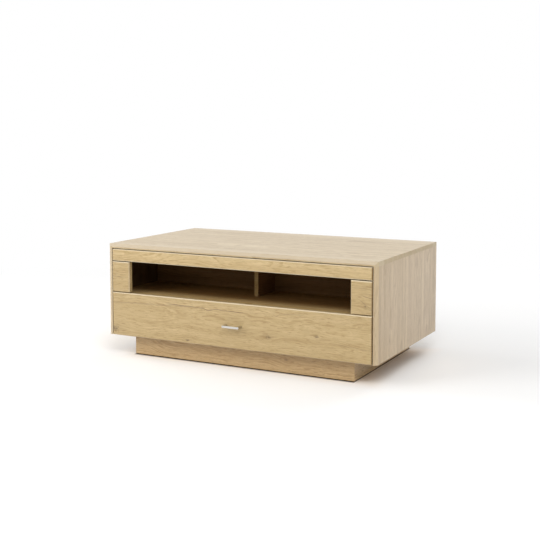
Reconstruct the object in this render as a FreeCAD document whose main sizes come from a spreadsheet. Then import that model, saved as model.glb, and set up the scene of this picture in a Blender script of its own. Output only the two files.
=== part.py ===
import FreeCAD, Part
import os
import re

import Sketcher

# Low oak table on a recessed plinth. X runs along the width, the front looks towards -Y, Z is up.
# The origin is on the floor under the middle of the table. All sizes are in millimetres.

DIMENSIONS = {
    # outside of the table and its carcass boards
    "table_width": 1100,
    "table_depth": 640,
    "table_height": 425,
    "board": 16,
    "frame_bevel": 11,
    "frame_ease": 2,
    "lip_depth": 60,
    # front pieces inside the bevelled frame
    "front_board": 19,
    "front_reveal": 3,
    "edge_ease": 3,
    "rail_height": 45,
    "block_height": 115,
    "block_width": 78,
    # niche behind them
    "shelf_drop": 2,
    "panel_setback": 2,
    "divider_setback": 175,
    # cleats that carry the fixed front pieces
    "cleat_depth": 20,
    "rail_cleat_recess": 10,
    "rail_cleat_end_gap": 34,
    "block_cleat_margin": 5,
    # plinth and glides
    "plinth_height": 73,
    "plinth_side_inset": 97,
    "plinth_end_inset": 40,
    "plinth_board": 16,
    "corner_block": 60,
    "glide_height": 2,
    "glide_dia": 26,
    "glide_pin_dia": 6,
    "glide_pin_length": 14,
    "glide_inset": 20,
    # drawer boxes
    "box_board": 12,
    "box_floor_gap": 7,
    "box_top_gap": 14,
    "box_back_gap": 18,
    "box_bottom_board": 6,
    "box_bottom_rise": 10,
    "groove_depth": 6,
    "bumper_dia": 8,
    "bumper_clearance": 0.3,
    "bumper_inset": 60,
    # telescopic runners
    "runner_height": 45,
    "runner_width": 13,
    "runner_wall": 1.2,
    "runner_clearance": 0.5,
    "runner_front_gap": 5,
    "runner_back_gap": 38,
    # bow handle
    "handle_width": 70,
    "handle_height": 8,
    "handle_reach": 28,
    "handle_bar": 6,
    "handle_post": 9,
    "handle_corner": 4,
    "handle_ease": 0.8,
    # dowels and screws
    "fit_clearance": 0.1,
    "end_clearance": 1,
    "dowel_dia": 8,
    "dowel_length": 30,
    "dowel_cover": 4,
    "dowel_inset": 50,
    "wall_dowel_inset": 20,
    "divider_dowel_inset": 25,
    "screw_dia": 4,
    "screw_head_dia": 8,
    "screw_head_height": 2.5,
    "screw_cover": 5,
    "cleat_screw_inset": 40,
    "rail_screw_inset": 90,
    "block_screw_inset": 25,
    "block_side_screw_step": 22,
    "plinth_screw_grip": 40,
    "plinth_screw_edge": 15,
    "runner_screw_dia": 3.5,
    "runner_screw_head_dia": 7,
    "box_screw_cover": 3,
    "runner_screw_inset": 30,
    "front_screw_inset": 120,
    "box_screw_bite": 22,
    "box_screw_inset": 6,
    "handle_screw_bite": 10,
}

# Places that follow from the sizes. "out" values count from the middle of the table's depth outwards.
PLACES = {
    "half_width": "table_width / 2",
    "half_depth": "table_depth / 2",
    "inner_half": "half_width - board",
    "carcass_base": "glide_height + plinth_height",
    "floor_top": "carcass_base + board",
    "top_under": "table_height - board",
    "rail_top": "top_under - front_reveal",
    "rail_base": "rail_top - rail_height",
    "block_top": "rail_base - front_reveal",
    "block_base": "block_top - block_height",
    "block_middle": "block_base + block_height / 2",
    "drawer_front_top": "block_base - front_reveal",
    "shelf_top": "drawer_front_top - shelf_drop",
    "shelf_base": "shelf_top - board",
    "front_half": "inner_half - front_reveal",
    "front_back_out": "half_depth - front_board",
    "panel_out": "front_back_out - panel_setback",
    "cleat_back_out": "front_back_out - cleat_depth",
    "rail_cleat_base": "rail_base + rail_cleat_recess",
    "rail_cleat_height": "top_under - rail_cleat_base",
    "plinth_half": "half_width - plinth_side_inset",
    "plinth_out": "half_depth - plinth_end_inset",
    "plinth_inner_half": "plinth_half - plinth_board",
    "plinth_inner_out": "plinth_out - plinth_board",
    "box_half": "inner_half - runner_width",
    "box_inner_half": "box_half - box_board",
    "box_base": "floor_top + box_floor_gap",
    "box_height": "shelf_base - box_top_gap - box_base",
    "box_middle": "box_base + box_height / 2",
    "box_back_out": "board / 2 + box_back_gap",
    "box_depth": "front_back_out - box_back_out",
    "box_front_inner_out": "front_back_out - box_board",
    "box_bottom_top": "box_base + box_bottom_rise + box_bottom_board",
    "box_inside_height": "box_base + box_height - box_bottom_top",
    "box_inside_middle": "box_bottom_top + box_inside_height / 2",
    "box_screw_step": "box_inside_height / 2 - box_screw_inset",
    "runner_front_out": "front_back_out - runner_front_gap",
    "runner_length": "runner_front_out - runner_back_gap - board / 2",
    "runner_middle_out": "runner_front_out - runner_length / 2",
    "runner_step": "runner_wall + runner_clearance",
    "handle_level": "(carcass_base + drawer_front_top) / 2",
    "handle_post_at": "(handle_width - handle_post) / 2",
    "dowel_in_face": "board - dowel_cover - end_clearance",
    "board_bite": "board - screw_cover",
    "front_bite": "front_board - screw_cover",
}

SIDES = {"left": -1, "right": 1}
ENDS = {"front": -1, "rear": 1}
DIRECTIONS = {
    "+x": (1, 0, 0),
    "-x": (-1, 0, 0),
    "+y": (0, 1, 0),
    "-y": (0, -1, 0),
    "+z": (0, 0, 1),
    "-z": (0, 0, -1),
}

doc = FreeCAD.newDocument("coffee_table")
sheet = doc.addObject("Spreadsheet::Sheet", "dims")
for row, (alias, size) in enumerate(DIMENSIONS.items(), start=1):
    sheet.set(f"A{row}", str(size))
    sheet.setAlias(f"A{row}", alias)
doc.recompute()

# Points closer than this count as one place
SAME_PLACE = 0.001

blanks = {}
cutters = {}
groups = {}


def formula(text):
    """Write a place or size in terms of the sheet's cells."""

    def cell(match):
        word = match.group(0)
        if word in PLACES:
            return "(" + formula(PLACES[word]) + ")"
        return "dims." + word if word in DIMENSIONS else word

    return re.sub(r"[a-z][a-z_]*", cell, text)


def number(text):
    return float(sheet.evalExpression(formula(text)))


def bind(item, **sizes):
    for name, text in sizes.items():
        item.setExpression(name, formula(text))


def put(item, place):
    for axis, text in zip("xyz", place):
        item.setExpression(f"Placement.Base.{axis}", formula(text))


def box(name, middle_x, middle_y, base, size_x, size_y, size_z):
    item = doc.addObject("Part::Box", name)
    bind(item, Length=size_x, Width=size_y, Height=size_z)
    corner_x = f"{middle_x} - ({size_x}) / 2"
    corner_y = f"{middle_y} - ({size_y}) / 2"
    put(item, (corner_x, corner_y, base))
    return item


def rod(name, start, direction, diameter, length):
    item = doc.addObject("Part::Cylinder", name)
    turn = FreeCAD.Rotation(FreeCAD.Vector(0, 0, 1), FreeCAD.Vector(*DIRECTIONS[direction]))
    item.Placement = FreeCAD.Placement(FreeCAD.Vector(0, 0, 0), turn)
    bind(item, Radius=f"({diameter}) / 2", Height=length)
    put(item, start)
    return item


def along(place, direction, distance):
    """Shift a place along one of the six directions."""
    step = DIRECTIONS[direction]
    return tuple(f"{text} + {sign} * ({distance})" for text, sign in zip(place, step))


def prism(name, plane, corners, length):
    """Body padded from a closed outline, along Z from the XY plane or along X from the YZ plane."""
    body = doc.addObject("PartDesign::Body", name)
    sketch = body.newObject("Sketcher::SketchObject", name + "_outline")
    base_plane = next(item for item in body.Origin.OriginFeatures if item.Role == plane + "_Plane")
    sketch.AttachmentSupport = (base_plane, "")
    sketch.MapMode = "FlatFace"
    points = [FreeCAD.Vector(number(across), number(up), 0) for across, up in corners]
    count = len(points)
    for index, point in enumerate(points):
        sketch.addGeometry(Part.LineSegment(point, points[(index + 1) % count]), False)
    for index in range(count):
        sketch.addConstraint(Sketcher.Constraint("Coincident", index, 2, (index + 1) % count, 1))
    for index, (point, corner) in enumerate(zip(points, corners)):
        for kind, value, text in zip(("DistanceX", "DistanceY"), (point.x, point.y), corner):
            rule = sketch.addConstraint(Sketcher.Constraint(kind, -1, 1, index, 1, value))
            sketch.setExpression(f"Constraints[{rule}]", formula(text))
    pad = body.newObject("PartDesign::Pad", name + "_pad")
    pad.Profile = sketch
    bind(pad, Length=length)
    doc.recompute()
    return body


def edge_names(shape, wanted):
    return [f"Edge{index}" for index, edge in enumerate(shape.Edges, start=1) if wanted(edge)]


def eased_board(name, middle_x, end, base, size_x, size_z):
    """Front piece in the plane of the frame, its outer edges eased all round."""
    half = f"({size_x}) / 2"
    inner = "-(front_back_out)"
    outer = "-(half_depth)"
    outline = [(f"-{half}", outer), (half, outer), (half, inner), (f"-{half}", inner)]
    body = prism(name, "XY", outline, size_z)
    face_at = number(outer)
    pad = body.Tip

    def on_face(edge):
        return all(abs(vertex.Point.y - face_at) < SAME_PLACE for vertex in edge.Vertexes)

    ease = body.newObject("PartDesign::Chamfer", name + "_ease")
    ease.Base = (pad, edge_names(pad.Shape, on_face))
    bind(ease, Size="edge_ease")
    if ENDS[end] > 0:
        body.Placement.Rotation = FreeCAD.Rotation(FreeCAD.Vector(0, 0, 1), 180)
    put(body, (middle_x, "0", base))
    return body


def cut(name, base, tool):
    item = doc.addObject("Part::Cut", name)
    item.Base = base
    item.Tool = tool
    return item


def keep(name, blank):
    blanks[name] = blank


def drill(tool, *names):
    for name in names:
        cutters.setdefault(name, []).append(tool)


def spread(count):
    """Even steps from -1 to 1."""
    return [2 * index / (count - 1) - 1 for index in range(count)]


def dowel(seat, direction, edge_piece, face_piece):
    """Dowel across a glue joint: its long end in a board's edge, its short end in a board's face."""
    tag = f"dowel_{len(groups.setdefault('dowels', []))}"
    in_edge = "(dowel_length - dowel_in_face)"
    start = along(seat, direction, f"-{in_edge}")
    groups["dowels"].append(rod(tag, start, direction, "dowel_dia", "dowel_length"))
    hole_start = along(seat, direction, f"-{in_edge} - end_clearance")
    hole_length = "dowel_length + 2 * end_clearance"
    hole = rod(tag + "_hole", hole_start, direction, "dowel_dia + 2 * fit_clearance", hole_length)
    drill(hole, edge_piece, face_piece)


def screw(group, seat, direction, grip, bite, pieces, diameter="screw_dia",
          head_dia="screw_head_dia", head_height="screw_head_height", head_in=None):
    """Screw with its shank through the grip and into the last piece, its head on a face or let in."""
    tag = f"{group}_{len(groups.setdefault(group, []))}"
    length = f"{grip} + {bite}"
    back = {"+": "-", "-": "+"}[direction[0]] + direction[1]
    shank = rod(tag + "_shank", seat, direction, diameter, length)
    head = rod(tag + "_head", seat, back, head_dia, head_height)
    whole = doc.addObject("Part::Fuse", tag)
    whole.Base = shank
    whole.Tool = head
    groups[group].append(whole)
    hole_dia = f"{diameter} + 2 * fit_clearance"
    drill(rod(tag + "_hole", seat, direction, hole_dia, f"{length} + end_clearance"), *pieces)
    if head_in:
        drill(rod(tag + "_sink", seat, back, f"{head_dia} + 2 * fit_clearance", head_height), head_in)


# Top: a wide middle panel with a bevelled solid lip glued along the front and the rear edge

def make_top():
    panel_depth = "table_depth - 2 * lip_depth"
    keep("top_panel", box("top_panel_blank", "0", "0", "top_under", "table_width", panel_depth, "board"))
    for end, toward in ENDS.items():
        inner = f"{toward} * (half_depth - lip_depth)"
        outer = f"{toward} * half_depth"
        bevel_in = f"{toward} * (half_depth - frame_bevel)"
        profile = [
            (inner, "top_under"),
            (outer, "top_under"),
            (outer, "table_height - frame_bevel"),
            (bevel_in, "table_height"),
            (inner, "table_height"),
        ]
        moulding = prism(f"top_{end}_moulding", "YZ", profile, "table_width")
        put(moulding, ("-half_width", "0", "0"))
        plan = [
            ("-half_width", inner),
            ("half_width", inner),
            ("half_width", bevel_in),
            ("half_width - frame_bevel", outer),
            ("-half_width + frame_bevel", outer),
            ("-half_width", bevel_in),
        ]
        mitre = prism(f"top_{end}_mitre", "XY", plan, "board")
        put(mitre, ("0", "0", "top_under"))
        lip = doc.addObject("Part::Common", f"top_{end}_lip_blank")
        lip.Base = moulding
        lip.Tool = mitre
        keep(f"top_{end}_lip", lip)


# Sides: upright boards under the top, bevelled along their outer front and rear edges, the inner ones eased

def make_sides():
    for side, sign in SIDES.items():
        inner = f"{sign} * inner_half"
        outer = f"{sign} * half_width"
        bevel_in = f"{sign} * (half_width - frame_bevel)"
        ease_in = f"{sign} * (inner_half + frame_ease)"
        plan = [
            (inner, "-half_depth + frame_ease"),
            (ease_in, "-half_depth"),
            (bevel_in, "-half_depth"),
            (outer, "-half_depth + frame_bevel"),
            (outer, "half_depth - frame_bevel"),
            (bevel_in, "half_depth"),
            (ease_in, "half_depth"),
            (inner, "half_depth - frame_ease"),
        ]
        panel = prism(f"{side}_side_blank", "XY", plan, "top_under - carcass_base")
        put(panel, ("0", "0", "carcass_base"))
        keep(f"{side}_side_panel", panel)
        for step in spread(4):
            seat = (f"{sign} * (half_width - board / 2)",
                    f"{step} * (half_depth - lip_depth - dowel_inset)",
                    "top_under")
            dowel(seat, "+z", f"{side}_side_panel", "top_panel")


# Inner boards: floor, niche shelf, the walls that part front from rear, and the niche dividers

def make_inner_boards():
    width = "2 * inner_half"
    depth = "2 * panel_out"
    keep("bottom_panel", box("bottom_blank", "0", "0", "carcass_base", width, depth, "board"))
    keep("niche_shelf", box("shelf_blank", "0", "0", "shelf_base", width, depth, "board"))
    walls = {
        "lower_centre_wall": ("floor_top", "shelf_base"),
        "upper_centre_wall": ("shelf_top", "top_under"),
    }
    for name, (low, high) in walls.items():
        keep(name, box(name + "_blank", "0", "0", low, width, "board", f"{high} - {low}"))
    for side, sign in SIDES.items():
        panel = f"{side}_side_panel"
        outward = "+x" if sign > 0 else "-x"
        for board, base in (("bottom_panel", "carcass_base"), ("niche_shelf", "shelf_base")):
            for step in spread(3):
                seat = (f"{sign} * inner_half", f"{step} * (panel_out - dowel_inset)", f"{base} + board / 2")
                dowel(seat, outward, board, panel)
        for name, (low, high) in walls.items():
            for step in spread(2):
                level = f"({high} + {low}) / 2 + {step} * (({high} - {low}) / 2 - wall_dowel_inset)"
                dowel((f"{sign} * inner_half", "0", level), outward, name, panel)
    for end, toward in ENDS.items():
        name = f"{end}_divider"
        length = "half_depth - divider_setback - board / 2"
        middle = f"{toward} * (board / 2 + ({length}) / 2)"
        height = "top_under - shelf_top"
        keep(name, box(name + "_blank", "0", middle, "shelf_top", "board", length, height))
        for step in spread(2):
            at = f"{middle} + {step} * (({length}) / 2 - divider_dowel_inset)"
            dowel(("0", at, "shelf_top"), "-z", name, "niche_shelf")
            dowel(("0", at, "top_under"), "+z", name, "top_panel")


# Fixed front pieces: a rail under the top and a block at each end of the niche, screwed to cleats

def make_fixed_fronts():
    groups["rail_cleats"] = []
    groups["block_cleats"] = []
    for end, toward in ENDS.items():
        outward = "+y" if toward > 0 else "-y"
        rail = f"{end}_top_rail"
        keep(rail, eased_board(rail + "_blank", "0", end, "rail_base", "2 * front_half", "rail_height"))
        cleat_half = "(inner_half - rail_cleat_end_gap)"
        cleat_middle = f"{toward} * (front_back_out - cleat_depth / 2)"
        cleat = f"{end}_rail_cleat"
        keep(cleat, box(cleat + "_blank", "0", cleat_middle, "rail_cleat_base",
                        f"2 * {cleat_half}", "cleat_depth", "rail_cleat_height"))
        groups["rail_cleats"].append(cleat)
        for step in spread(4):
            seat = (f"{step} * ({cleat_half} - cleat_screw_inset)", cleat_middle, "rail_cleat_base")
            screw("cabinet_screws", seat, "+z", "rail_cleat_height", "board_bite", (cleat, f"top_{end}_lip"))
        for step in spread(3):
            seat = (f"{step} * ({cleat_half} - rail_screw_inset)", f"{toward} * cleat_back_out",
                    "rail_base + rail_height / 2")
            screw("cabinet_screws", seat, outward, "cleat_depth", "front_bite", (cleat, rail))
        for side, sign in SIDES.items():
            make_block(side, sign, end, toward, cleat_middle, outward)


def make_block(side, sign, end, toward, cleat_middle, outward):
    block = f"{end}_{side}_block"
    middle = f"{sign} * (front_half - block_width / 2)"
    keep(block, eased_board(block + "_blank", middle, end, "block_base", "block_width", "block_height"))
    cleat = f"{end}_{side}_block_cleat"
    cleat_x = f"{sign} * (inner_half - cleat_depth / 2)"
    height = "block_height - 2 * block_cleat_margin"
    keep(cleat, box(cleat + "_blank", cleat_x, cleat_middle, "block_base + block_cleat_margin",
                    "cleat_depth", "cleat_depth", height))
    groups["block_cleats"].append(cleat)
    sideways = "+x" if sign > 0 else "-x"
    for step in spread(2):
        seat = (f"{sign} * (inner_half - cleat_depth)", cleat_middle,
                f"block_middle + {step} * (block_height / 2 - block_screw_inset)")
        screw("cabinet_screws", seat, sideways, "cleat_depth", "board_bite", (cleat, f"{side}_side_panel"))
        seat = (cleat_x, f"{toward} * cleat_back_out", f"block_middle + {step} * block_side_screw_step / 2")
        screw("cabinet_screws", seat, outward, "cleat_depth", "front_bite", (cleat, block))


# Plinth: four mitred boards with blocks in the corners, a brace across the middle and glides

def make_plinth():
    groups["plinth_corner_blocks"] = []
    groups["glides"] = []
    for end, toward in ENDS.items():
        outer = f"{toward} * plinth_out"
        inner = f"{toward} * plinth_inner_out"
        mitred_board(f"plinth_{end}", [
            ("-plinth_half", outer),
            ("plinth_half", outer),
            ("plinth_inner_half", inner),
            ("-plinth_inner_half", inner),
        ])
    for side, sign in SIDES.items():
        outer = f"{sign} * plinth_half"
        inner = f"{sign} * plinth_inner_half"
        mitred_board(f"plinth_{side}", [
            (outer, "-plinth_out"),
            (outer, "plinth_out"),
            (inner, "plinth_inner_out"),
            (inner, "-plinth_inner_out"),
        ])
    keep("plinth_brace", box("plinth_brace_blank", "0", "0", "glide_height",
                             "plinth_board", "2 * plinth_inner_out", "plinth_height"))
    for end, toward in ENDS.items():
        for side, sign in SIDES.items():
            make_corner(f"{end}_{side}", sign, toward)


def mitred_board(name, plan):
    board = prism(name + "_blank", "XY", plan, "plinth_height")
    put(board, ("0", "0", "glide_height"))
    keep(name, board)


def make_corner(corner, sign, toward):
    block = f"plinth_{corner}_block"

    def inset(distance):
        return f"{sign} * (plinth_inner_half - {distance})", f"{toward} * (plinth_inner_out - {distance})"

    middle_x, middle_y = inset("corner_block / 2")
    keep(block, box(block + "_blank", middle_x, middle_y, "glide_height",
                    "corner_block", "corner_block", "plinth_height"))
    groups["plinth_corner_blocks"].append(block)
    seat = inset("(corner_block - plinth_screw_edge)") + ("carcass_base - plinth_screw_grip",)
    screw("cabinet_screws", seat, "+z", "plinth_screw_grip", "board_bite", (block, "bottom_panel"))
    well = rod(f"{corner}_screw_well", seat, "-z", "screw_head_dia + 2 * end_clearance", "plinth_height")
    drill(well, block)
    foot = inset("glide_inset") + ("0",)
    disc = rod(f"{corner}_glide_disc", foot, "+z", "glide_dia", "glide_height")
    pin = rod(f"{corner}_glide_pin", foot, "+z", "glide_pin_dia", "glide_height + glide_pin_length")
    glide = doc.addObject("Part::Fuse", f"{corner}_glide")
    glide.Base = disc
    glide.Tool = pin
    groups["glides"].append(glide)
    pin_hole = rod(f"{corner}_pin_hole", foot, "+z", "glide_pin_dia + 2 * fit_clearance",
                   "glide_height + glide_pin_length + end_clearance")
    drill(pin_hole, block)


# Drawers: an eased front screwed to a four-sided box with a grooved-in bottom

def make_drawer(end, toward):
    outward = "+y" if toward > 0 else "-y"
    drawer = f"{end}_drawer"
    height = "drawer_front_top - carcass_base"
    keep(f"{drawer}_front", eased_board(f"{drawer}_front_blank", "0", end, "carcass_base",
                                        "2 * front_half", height))
    cross_boards = {
        "box_front": "front_back_out - box_board / 2",
        "box_back": "box_back_out + box_board / 2",
    }
    for board, out in cross_boards.items():
        keep(f"{drawer}_{board}", box(f"{drawer}_{board}_blank", "0", f"{toward} * ({out})", "box_base",
                                      "2 * box_inner_half", "box_board", "box_height"))
    box_middle_y = f"{toward} * (front_back_out - box_depth / 2)"
    for side, sign in SIDES.items():
        name = f"{drawer}_{side}_side"
        keep(name, box(name + "_blank", f"{sign} * (box_half - box_board / 2)", box_middle_y, "box_base",
                       "box_board", "box_depth", "box_height"))
        inward = "-x" if sign > 0 else "+x"
        for board, out in cross_boards.items():
            for step in spread(2):
                seat = (f"{sign} * (box_half - screw_head_height)", f"{toward} * ({out})",
                        f"box_inside_middle + {step} * box_screw_step")
                screw(f"{drawer}_screws", seat, inward, "box_board - screw_head_height", "box_screw_bite",
                      (name, f"{drawer}_{board}"), head_in=name)
    make_drawer_bottom(drawer, box_middle_y)
    for step in spread(4):
        seat = (f"{step} * (box_inner_half - front_screw_inset)", f"{toward} * box_front_inner_out",
                "box_inside_middle")
        screw(f"{drawer}_screws", seat, outward, "box_board", "front_bite",
              (f"{drawer}_box_front", f"{drawer}_front"))
    make_handle(end, toward, outward)
    inward = "-y" if toward > 0 else "+y"
    for side, sign in SIDES.items():
        make_runner(side, sign, end, toward)
        seat = (f"{sign} * (inner_half - bumper_inset)", f"{toward} * front_back_out",
                "shelf_base + board / 2")
        pad = rod(f"{drawer}_{side}_bumper", seat, inward, "bumper_dia", "panel_setback - bumper_clearance")
        groups.setdefault(f"{drawer}_bumpers", []).append(pad)


def make_drawer_bottom(drawer, middle_y):
    name = f"{drawer}_bottom"
    base = "box_base + box_bottom_rise"
    groove_x = "2 * (box_inner_half + groove_depth)"
    groove_y = "box_depth - 2 * (box_board - groove_depth)"
    keep(name, box(name + "_blank", "0", middle_y, base, f"{groove_x} - 2 * fit_clearance",
                   f"{groove_y} - 2 * fit_clearance", "box_bottom_board"))
    groove = box(f"{drawer}_groove", "0", middle_y, base, groove_x, groove_y,
                 "box_bottom_board + fit_clearance")
    boards = ("box_front", "box_back", "left_side", "right_side")
    drill(groove, *(f"{drawer}_{board}" for board in boards))


# Handle: a bar bent back to the drawer front at both ends, held by two screws from inside the drawer

def make_handle(end, toward, outward):
    handle = f"{end}_handle"
    root = "-half_depth"
    face = "-half_depth - handle_reach"
    bar_back = "-half_depth - handle_reach + handle_bar"
    half = "handle_width / 2"
    post_inner = "handle_width / 2 - handle_post"
    outline = [
        (f"-{half}", root),
        (f"-{half}", face),
        (half, face),
        (half, root),
        (post_inner, root),
        (post_inner, bar_back),
        (f"-({post_inner})", bar_back),
        (f"-({post_inner})", root),
    ]
    bow = prism(handle + "_blank", "XY", outline, "handle_height")
    pad = bow.Tip
    face_at = number(face)
    bar_back_at = number(bar_back)

    def bend(edge):
        first, last = (vertex.Point for vertex in edge.Vertexes)
        upright = abs(first.x - last.x) + abs(first.y - last.y) < SAME_PLACE
        return upright and min(abs(first.y - face_at), abs(first.y - bar_back_at)) < SAME_PLACE

    bends = bow.newObject("PartDesign::Fillet", handle + "_bends")
    bends.Base = (pad, edge_names(pad.Shape, bend))
    bind(bends, Radius="handle_corner")
    doc.recompute()
    root_at = number(root)

    def rim(edge):
        level = all(abs(vertex.Point.z - edge.Vertexes[0].Point.z) < SAME_PLACE for vertex in edge.Vertexes)
        return level and not all(abs(vertex.Point.y - root_at) < SAME_PLACE for vertex in edge.Vertexes)

    ease = bow.newObject("PartDesign::Chamfer", handle + "_ease")
    ease.Base = (bends, edge_names(bends.Shape, rim))
    bind(ease, Size="handle_ease")
    if toward > 0:
        bow.Placement.Rotation = FreeCAD.Rotation(FreeCAD.Vector(0, 0, 1), 180)
    put(bow, ("0", "0", "handle_level - handle_height / 2"))
    keep(handle, bow)
    for sign in SIDES.values():
        seat = (f"{sign} * handle_post_at", f"{toward} * box_front_inner_out", "handle_level")
        screw(f"{end}_handle_screws", seat, outward, "box_board + front_board", "handle_screw_bite",
              (f"{end}_drawer_box_front", f"{end}_drawer_front", handle))


# Runner: three nested channels, one on the cabinet, one between, one on the drawer

def channel(name, sign, deep, shallow, half_height, web_at, middle_y):
    """Channel lying along Y between two distances from the middle, open on the side away from its web."""
    web = {"outer": "-runner_wall", "inner": "runner_wall"}[web_at]
    middle = f"(({deep}) + ({shallow})) / 2"
    width = f"({deep}) - ({shallow})"
    outer = box(name + "_bar", f"{sign} * ({middle})", middle_y, f"box_middle - ({half_height})",
                width, "runner_length", f"2 * ({half_height})")
    hollow = box(name + "_hollow", f"{sign} * ({middle} + ({web}))", middle_y,
                 f"box_middle - ({half_height}) + runner_wall", width,
                 "runner_length + 2 * end_clearance", f"2 * ({half_height} - runner_wall)")
    return cut(name + "_channel", outer, hollow)


def make_runner(side, sign, end, toward):
    tag = f"{end}_{side}"
    middle_y = f"{toward} * runner_middle_out"
    outward = "+x" if sign > 0 else "-x"
    inward = "-x" if sign > 0 else "+x"
    half = "runner_height / 2"
    cabinet = f"{tag}_cabinet_rail"
    drawer_rail = f"{tag}_drawer_rail"
    keep(cabinet, channel(cabinet, sign, "inner_half", "box_half + runner_clearance",
                          half, "outer", middle_y))
    middle = channel(f"{tag}_middle_rail", sign, "inner_half - runner_step", "box_half + runner_step",
                     f"{half} - runner_step", "outer", middle_y)
    groups.setdefault(f"{end}_middle_rails", []).append(middle)
    keep(drawer_rail, channel(drawer_rail, sign, "inner_half - 2 * runner_step", "box_half",
                              f"{half} - 2 * runner_step", "inner", middle_y))
    fixings = (
        ("runner_screws", "inner_half", outward, cabinet, f"{side}_side_panel", "board_bite"),
        (f"{end}_drawer_screws", "box_half", inward, drawer_rail, f"{end}_drawer_{side}_side",
         "box_board - box_screw_cover"),
    )
    for group, face, direction, rail, board, bite in fixings:
        for step in spread(3):
            at = f"{toward} * (runner_middle_out + {step} * (runner_length / 2 - runner_screw_inset))"
            seat = (f"{sign} * ({face})", at, "box_middle")
            screw(group, seat, direction, "0", bite, (board,), "runner_screw_dia",
                  "runner_screw_head_dia", "runner_wall", head_in=rail)


def finish_pieces():
    """Cut every piece's holes and grooves, and gather the groups of like pieces."""
    finished = {}
    for name, blank in blanks.items():
        item = blank
        if name in cutters:
            tools = doc.addObject("Part::Compound", name + "_cutters")
            tools.Links = cutters[name]
            item = cut(name + "_cut", blank, tools)
        finished[name] = item
    for name, members in groups.items():
        group = doc.addObject("Part::Compound", name + "_group")
        group.Links = [finished.pop(member) if isinstance(member, str) else member for member in members]
        finished[name] = group
    return finished


def check_and_write(pieces):
    doc.recompute()
    faults = [item.Name for item in doc.Objects if {"Invalid", "Error"} & set(item.State)]
    for name, item in pieces.items():
        item.Label = name
        if item.Shape.isNull() or not item.Shape.isValid() or not item.Shape.Solids:
            faults.append(name)
    if faults:
        raise RuntimeError("not built: " + ", ".join(faults))
    os.makedirs("parts", exist_ok=True)
    for name, item in pieces.items():
        item.Shape.exportStep(f"parts/{name}.step")
        print(f"{name}: {len(item.Shape.Solids)} solids, {item.Shape.Volume / 1000:.1f} cm3")
    print(f"{len(pieces)} pieces")


make_top()
make_sides()
make_inner_boards()
make_fixed_fronts()
make_plinth()
for end_name, end_sign in ENDS.items():
    make_drawer(end_name, end_sign)
check_and_write(finish_pieces())
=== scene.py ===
import math

import bmesh
import bpy
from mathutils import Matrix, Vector


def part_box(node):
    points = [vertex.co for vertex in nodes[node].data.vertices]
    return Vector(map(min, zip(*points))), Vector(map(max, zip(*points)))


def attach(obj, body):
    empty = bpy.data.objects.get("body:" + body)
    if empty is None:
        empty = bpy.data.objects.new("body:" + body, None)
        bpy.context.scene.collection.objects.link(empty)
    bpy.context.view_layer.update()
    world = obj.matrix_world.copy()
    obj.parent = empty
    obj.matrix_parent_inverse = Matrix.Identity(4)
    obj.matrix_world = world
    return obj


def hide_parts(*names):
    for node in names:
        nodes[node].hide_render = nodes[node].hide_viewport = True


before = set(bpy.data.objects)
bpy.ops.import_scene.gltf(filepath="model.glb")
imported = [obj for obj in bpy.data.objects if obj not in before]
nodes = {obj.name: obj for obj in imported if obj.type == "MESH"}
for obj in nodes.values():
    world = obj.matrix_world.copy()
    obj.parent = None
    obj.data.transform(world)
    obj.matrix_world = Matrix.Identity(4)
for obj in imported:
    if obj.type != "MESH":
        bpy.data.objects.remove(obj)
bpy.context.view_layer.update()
scene = bpy.context.scene
scene.view_settings.view_transform = "Standard"
print("frame loaded:", len(nodes), "nodes")


# small helpers for node trees

def feed(tree, socket, value):
    # a socket takes a link from another socket, or a plain value
    if isinstance(value, bpy.types.NodeSocket):
        tree.links.new(value, socket)
    elif value is not None:
        socket.default_value = value


def addNode(tree, kind, inputs=None, **settings):
    # inputs go by the names or the places of the node's sockets
    item = tree.nodes.new(kind)
    for key, value in settings.items():
        setattr(item, key, value)
    for key, value in (inputs or {}).items():
        feed(tree, item.inputs[key], value)
    return item


def calc(tree, operation, *values, clamp=False):
    item = addNode(tree, "ShaderNodeMath", dict(enumerate(values)), operation=operation, use_clamp=clamp)
    return item.outputs[0]


def vectorCalc(tree, operation, *values):
    item = addNode(tree, "ShaderNodeVectorMath", dict(enumerate(values)), operation=operation)
    return item.outputs["Value" if operation == "LENGTH" else "Vector"]


def splitVector(tree, vector):
    return tuple(addNode(tree, "ShaderNodeSeparateXYZ", {0: vector}).outputs)


def joinVector(tree, *parts):
    return addNode(tree, "ShaderNodeCombineXYZ", dict(enumerate(parts))).outputs[0]


def largest(tree, first, *others):
    for other in others:
        first = calc(tree, "MAXIMUM", first, other)
    return first


def bell(tree, squared, fall):
    # 1 in the middle, and dying away with the squared distance
    return calc(tree, "POWER", math.e, calc(tree, "MULTIPLY", squared, -fall))


def noise(tree, position, stretch, detail, roughness=0.5):
    # noise on a stretched position, -0.5 to 0.5
    stretched = vectorCalc(tree, "MULTIPLY", position, stretch)
    item = addNode(tree, "ShaderNodeTexNoise",
                   {"Vector": stretched, "Scale": 1.0, "Detail": detail, "Roughness": roughness})
    return calc(tree, "SUBTRACT", item.outputs["Fac"], 0.5)


def ramp(tree, value, low, high, toLow=0.0, toHigh=1.0):
    levels = {"Value": value, "From Min": low, "From Max": high, "To Min": toLow, "To Max": toHigh}
    return addNode(tree, "ShaderNodeMapRange", levels, interpolation_type="SMOOTHSTEP").outputs["Result"]


def opaque(colour):
    return (*colour, 1.0)


def blendColour(tree, factor, a, b, mode="MIX"):
    # a mix node's colour sockets go by their places, because its other kinds have the same names
    item = addNode(tree, "ShaderNodeMix", {0: factor, 6: a, 7: b}, data_type="RGBA", blend_type=mode)
    return item.outputs[2]


def mixShaders(tree, factor, first, second):
    return addNode(tree, "ShaderNodeMixShader", {0: factor, 1: first.outputs[0], 2: second.outputs[0]})


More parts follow.
